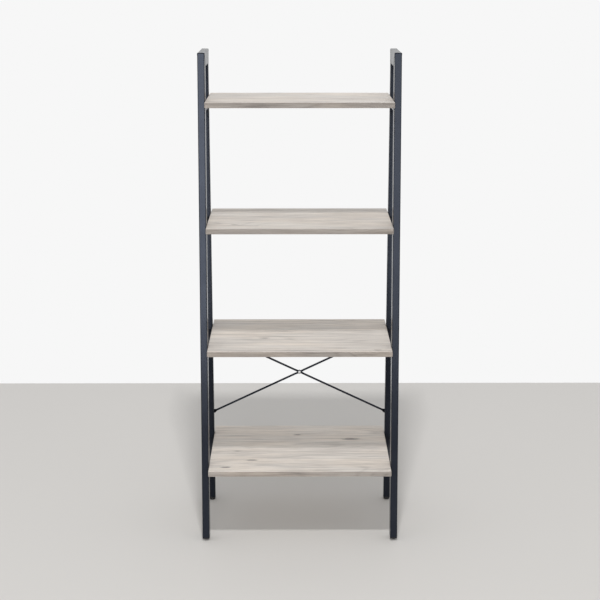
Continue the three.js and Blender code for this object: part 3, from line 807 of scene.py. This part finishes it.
# ---- crossed brace ---------------------------------------------------------------------
# Two 6 mm round rods, coated like the frame, with their ends and middles pressed flat
# and drilled.  Four bolts hold the ends on rivet nuts behind the rear posts, and a
# zinc-plated bolt and nut clamp the crossing.

ROD_RADIUS = 0.003
FLAT_WIDTH = 0.012
FLAT_THICKNESS = 0.0024
END_FLAT = 0.017  # length of the flat at a rod's end
PRESS_TAPER = 0.009  # length over which a flat runs out into the round rod
CROSSING_GAP = 0.0003  # between the two eyes
BOLT_RADIUS = 0.0025
BOLT_PITCH = 0.0008
BOLT_THREAD_DEPTH = 0.0004
BOLT_HEAD_RADIUS = 0.0045
BOLT_HEAD_HEIGHT = 0.0028
KEY_SOCKET = 0.003  # across its flats
RIVET_BORE = 0.0028
NUT_HALF = 0.0040  # half the nut's width across flats, and its thickness
NUT_BORE = 0.0027
bolt_middles = {}
for side in SIDES:
    for level in ("low", "high"):
        low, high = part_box(f"{side}_brace_bolt_{level}")
        bolt_middles[side, level] = (low + high) / 2
centre_low, centre_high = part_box("brace_centre_bolt")
rod_y = sum(corner.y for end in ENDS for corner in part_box(f"brace_rod_{end}")) / 4


def soft_step(value, low, high):
    """0 below low, 1 above high, and a smooth cubic between them."""
    t = np.clip((value - low) / (high - low), 0, 1)
    return t * t * (3 - 2 * t)


def brace_rod(start, end, press):
    """A rod from one bolt to the other.  Its section is a superellipse whose width,
    thickness and squareness change along it: round in the open lengths, flat at both
    ends, and flat in the middle, where a round eye is pressed to one side along Y."""
    span = np.hypot(end[0] - start[0], end[1] - start[1])
    along = np.array((end[0] - start[0], 0, end[1] - start[1])) / span
    wide = np.array((-along[2], 0, along[0]))
    middle = np.array(((start[0] + end[0]) / 2, rod_y, (start[1] + end[1]) / 2))
    eye = FLAT_WIDTH / 2
    tip = span / 2 + eye
    clear = ROD_RADIUS / abs(along[2] / along[0]) + 0.0005
    full = clear + PRESS_TAPER
    end_flat_from = tip - END_FLAT - PRESS_TAPER
    half = np.concatenate([
        np.linspace(0, clear, 28), np.linspace(clear, full, 13)[1:],
        np.linspace(full, end_flat_from, 6)[1:],
        np.linspace(end_flat_from, tip - END_FLAT, 13)[1:],
        np.linspace(tip - END_FLAT, tip - eye, 4)[1:],
        tip - eye + eye * np.sin(np.linspace(0, np.pi / 2, 9))[1:],
    ])
    s = np.concatenate([-half[:0:-1], half])
    from_tip = tip - np.abs(s)
    end_flat = 1 - soft_step(from_tip, END_FLAT, END_FLAT + PRESS_TAPER)
    middle_flat = 1 - soft_step(np.abs(s), clear, full)
    flat = np.maximum(end_flat, middle_flat)
    rounding = np.clip(1 - from_tip / eye, 0, 1)
    width = (ROD_RADIUS + (eye - ROD_RADIUS) * end_flat) * np.sqrt(1 - rounding ** 2)
    width = np.maximum(width, np.sqrt(np.clip(eye ** 2 - s ** 2, 0, None)))
    thick = ROD_RADIUS + (FLAT_THICKNESS / 2 - ROD_RADIUS) * flat
    shift = press * middle_flat * (FLAT_THICKNESS + CROSSING_GAP) / 2
    power = (1 - 0.55 * flat)[:, None]
    turn = np.linspace(0, 2 * np.pi, 24, endpoint=False)
    c, q = np.cos(turn), np.sin(turn)
    u = width[:, None] * np.sign(c) * np.abs(c) ** power
    v = thick[:, None] * np.sign(q) * np.abs(q) ** power + shift[:, None]
    return (
        middle + s[:, None, None] * along + u[..., None] * wide + v[..., None] * AXIS_BACK
    ), "points"


for end, press, ends in (
    ("front", -1, (("left", "low"), ("right", "high"))),
    ("rear", 1, (("left", "high"), ("right", "low"))),
):
    a, b = (bolt_middles[key] for key in ends)
    rod = skin(
        f"brace_rod_{end}_pressed", [brace_rod((a.x, a.z), (b.x, b.z), press)],
        powder_coat, sharp=50,
    )
    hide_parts(f"brace_rod_{end}")


def six_sided(angle):
    """A hexagon's half width over its radius at each angle: the cosine of the angle from
    the middle of the nearest flat."""
    return np.cos((angle % (np.pi / 3)) - np.pi / 6)


def bolt_form(radius, height, angle):
    """A form for a bolt: the rings of the key socket become hexagons, and those of the
    shank are cut by the thread."""
    socket = radius <= KEY_SOCKET / 2 + 1e-6
    radius = np.where(socket, radius / six_sided(angle), radius)
    cut, _ = thread(BOLT_PITCH, BOLT_THREAD_DEPTH)(radius, height, angle)
    return np.where((height > 0.0003) & (radius > 0.0001), cut, radius), height


def button_head(place, axis, length):
    """A button-head bolt, its head bearing at place and its shank along the axis.  The
    head's side is a flattened quarter of an ellipse."""
    key, tall = KEY_SOCKET / 2, BOLT_HEAD_HEIGHT
    crown = key + 0.0006
    bow = np.linspace(0.15, 1, 9)[:-1] * np.pi / 2
    profile = [(0, -tall * 0.35), (key, -tall * 0.35), (key, -tall), (key + 0.0004, -tall)]
    profile += [
        (crown + (BOLT_HEAD_RADIUS - crown) * np.sin(b), -tall * np.cos(b) ** 0.8) for b in bow
    ]
    profile += [(BOLT_HEAD_RADIUS, -0.0002), (BOLT_HEAD_RADIUS - 0.0002, 0), (BOLT_RADIUS, 0)]
    profile += [
        (BOLT_RADIUS, h) for h in np.arange(0.0004, length - 0.0006, BOLT_PITCH / 5)
    ]
    profile += [(BOLT_RADIUS - 0.0004, length), (0, length)]
    return turned(place, axis, profile, 36, bolt_form)


for side in SIDES:
    for level in ("low", "high"):
        low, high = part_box(f"{side}_brace_bolt_{level}")
        middle = (low + high) / 2
        bolt = skin(f"{side}_brace_bolt_{level}_socket_head", [button_head(
            (middle.x, high.y - BOLT_HEAD_HEIGHT, middle.z), -AXIS_BACK,
            high.y - low.y - BOLT_HEAD_HEIGHT,
        )], black_steel)
        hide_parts(f"{side}_brace_bolt_{level}")
        low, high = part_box(f"{side}_rivet_nut_{level}")
        length = high.y - low.y
        # from the front: the flange, the neck in the wall, the crimped bulge, the barrel
        nut = rounded_profile(
            (RIVET_BORE, 0, 0), (0.0050, 0, 0.0002), (0.0050, 0.0008, 0.0002),
            (0.0035, 0.0008, 0.0002), (0.0035, 0.0026, 0.0003), (0.0045, 0.0041, 0.0008),
            (0.0035, 0.0056, 0.0003), (0.0035, length, 0.0003), (RIVET_BORE, length, 0),
        )
        nut = skin(f"{side}_rivet_nut_{level}_crimped", [
            turned((middle.x, high.y, middle.z), -AXIS_BACK, nut, 32, ends="loop")
        ], zinc_plate)
        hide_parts(f"{side}_rivet_nut_{level}")

middle = (centre_low + centre_high) / 2
clamp = skin("brace_centre_bolt_socket_head", [button_head(
    (middle.x, centre_low.y + BOLT_HEAD_HEIGHT, middle.z), AXIS_BACK,
    centre_high.y - centre_low.y - BOLT_HEAD_HEIGHT,
)], zinc_plate)
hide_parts("brace_centre_bolt")
low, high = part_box("brace_centre_nut")


def nut_flats(radius, height, angle):
    """A form for a hexagon nut: the outer rings are six-sided, and their corners are cut
    back where the ring was drawn in."""
    outer = np.minimum(NUT_HALF / six_sided(angle), radius * 1.155)
    return np.where(radius > NUT_HALF - 0.0004, outer, radius), height


nut = [
    (NUT_BORE, 0), (NUT_HALF - 0.0003, 0), (NUT_HALF, 0.0004), (NUT_HALF, NUT_HALF - 0.0004),
    (NUT_HALF - 0.0003, NUT_HALF), (NUT_BORE, NUT_HALF),
]
nut = skin("brace_centre_nut_hexagon", [
    turned((middle.x, low.y, middle.z), AXIS_BACK, nut, 48, nut_flats, "loop"),
], zinc_plate)
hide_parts("brace_centre_nut")

# ---- floor, light and camera -----------------------------------------------------------
# A plain pale floor that ends well behind the shelf, a white surround, a small key
# softbox high in front, a tall window light on each side of the camera, and the camera.

FLOOR_HALF = 1.296
WHITE = 0.93
KEY_DISTANCE = 3.55
WINDOW_SIZE = (0.9, 2.5)
FOCAL_LENGTH = 80.33
CAMERA_PLACE = (-0.014, -3.7433, 1.6271)
CAMERA_PITCH = np.radians(14.346)  # how far it looks down
CAMERA_TURN = -0.00406
floor_mesh = bpy.data.meshes.new("floor")
floor_mesh.from_pydata(
    [(x * FLOOR_HALF, y * FLOOR_HALF, 0) for x, y in ((-1, -1), (1, -1), (1, 1), (-1, 1))],
    [], [(0, 1, 2, 3)],
)
floor = bpy.data.objects.new("floor", floor_mesh)
bpy.context.scene.collection.objects.link(floor)
floor_mesh.materials.append(new_material("pale_floor", (0.60, 0.585, 0.565), 0.7)[0])

world = bpy.data.worlds.new("studio")
bpy.context.scene.world = world
world.use_nodes = True
tree = world.node_tree
rays = tree.nodes.new("ShaderNodeLightPath").outputs
way = add_node(tree, "ShaderNodeSeparateXYZ", {
    0: tree.nodes.new("ShaderNodeTexCoord").outputs["Generated"]}).outputs
height = way["Z"]
above = between(tree, height, -0.16, 0.04)
overhead = between(tree, height, 0.25, 0.9)
soft = calculate(tree, "MULTIPLY_ADD", above, 0.64, 0.20)
soft = calculate(tree, "MULTIPLY_ADD", overhead, -0.26, soft)
mirrored = calculate(tree, "MULTIPLY_ADD", above, 0.83, 0.10)
# behind the shelf the white surround comes down to the far edge of the floor
wall = calculate(tree, "MULTIPLY", between(tree, way["Y"], 0.80, 0.93), between(
    tree, height, -0.34, -0.30, 0.0, WHITE))
mirrored = calculate(tree, "MAXIMUM", mirrored, wall)
shiny = calculate(tree, "MAXIMUM", rays["Is Glossy Ray"], rays["Is Transmission Ray"])
strength = add_node(tree, "ShaderNodeMix", {0: shiny, 2: soft, 3: mirrored}).outputs[0]
strength = add_node(tree, "ShaderNodeMix", {
    0: rays["Is Camera Ray"], 2: strength, 3: WHITE}).outputs[0]
tree.nodes["Background"].inputs["Color"].default_value = (1, 1, 1, 1)
tree.links.new(strength, tree.nodes["Background"].inputs["Strength"])


def softbox(name, place, target, size, power):
    """A rectangular area light of size (width, height) at place that faces target."""
    lamp = bpy.data.lights.new(name, "AREA")
    lamp.shape = "RECTANGLE"
    lamp.size, lamp.size_y = size
    lamp.energy = power
    lamp_object = bpy.data.objects.new(name, lamp)
    way = Vector(target) - Vector(place)
    lamp_object.location = place
    lamp_object.rotation_euler = way.to_track_quat("-Z", "Y").to_euler()
    lamp_object.visible_camera = False
    bpy.context.scene.collection.objects.link(lamp_object)
    return lamp


key = softbox("key_softbox", (0.0, -1.81, 3.85), (0, 0, 0.6), (0.22, 0.22), 46)
softbox("left_window_light", (-0.62, -4.3, 1.35), (-0.3, 0, 1.1), WINDOW_SIZE, 40)
softbox("right_window_light", (0.62, -4.3, 1.35), (0.3, 0, 1.1), WINDOW_SIZE, 22)

# the key stands in for a lamp much farther away, so its light does not fade with distance
key.use_nodes = True
even = add_node(key.node_tree, "ShaderNodeLightFalloff", {"Strength": KEY_DISTANCE ** -2})
key.node_tree.links.new(
    even.outputs["Constant"], key.node_tree.nodes["Emission"].inputs["Strength"]
)

camera = bpy.data.cameras.new("camera")
camera.sensor_width = 36
camera.lens = FOCAL_LENGTH
camera_object = bpy.data.objects.new("camera", camera)
camera_object.location = CAMERA_PLACE
camera_object.rotation_euler = (np.pi / 2 - CAMERA_PITCH, 0, CAMERA_TURN)
bpy.context.scene.collection.objects.link(camera_object)
bpy.context.scene.camera = camera_object
bpy.context.scene.view_settings.view_transform = "Standard"
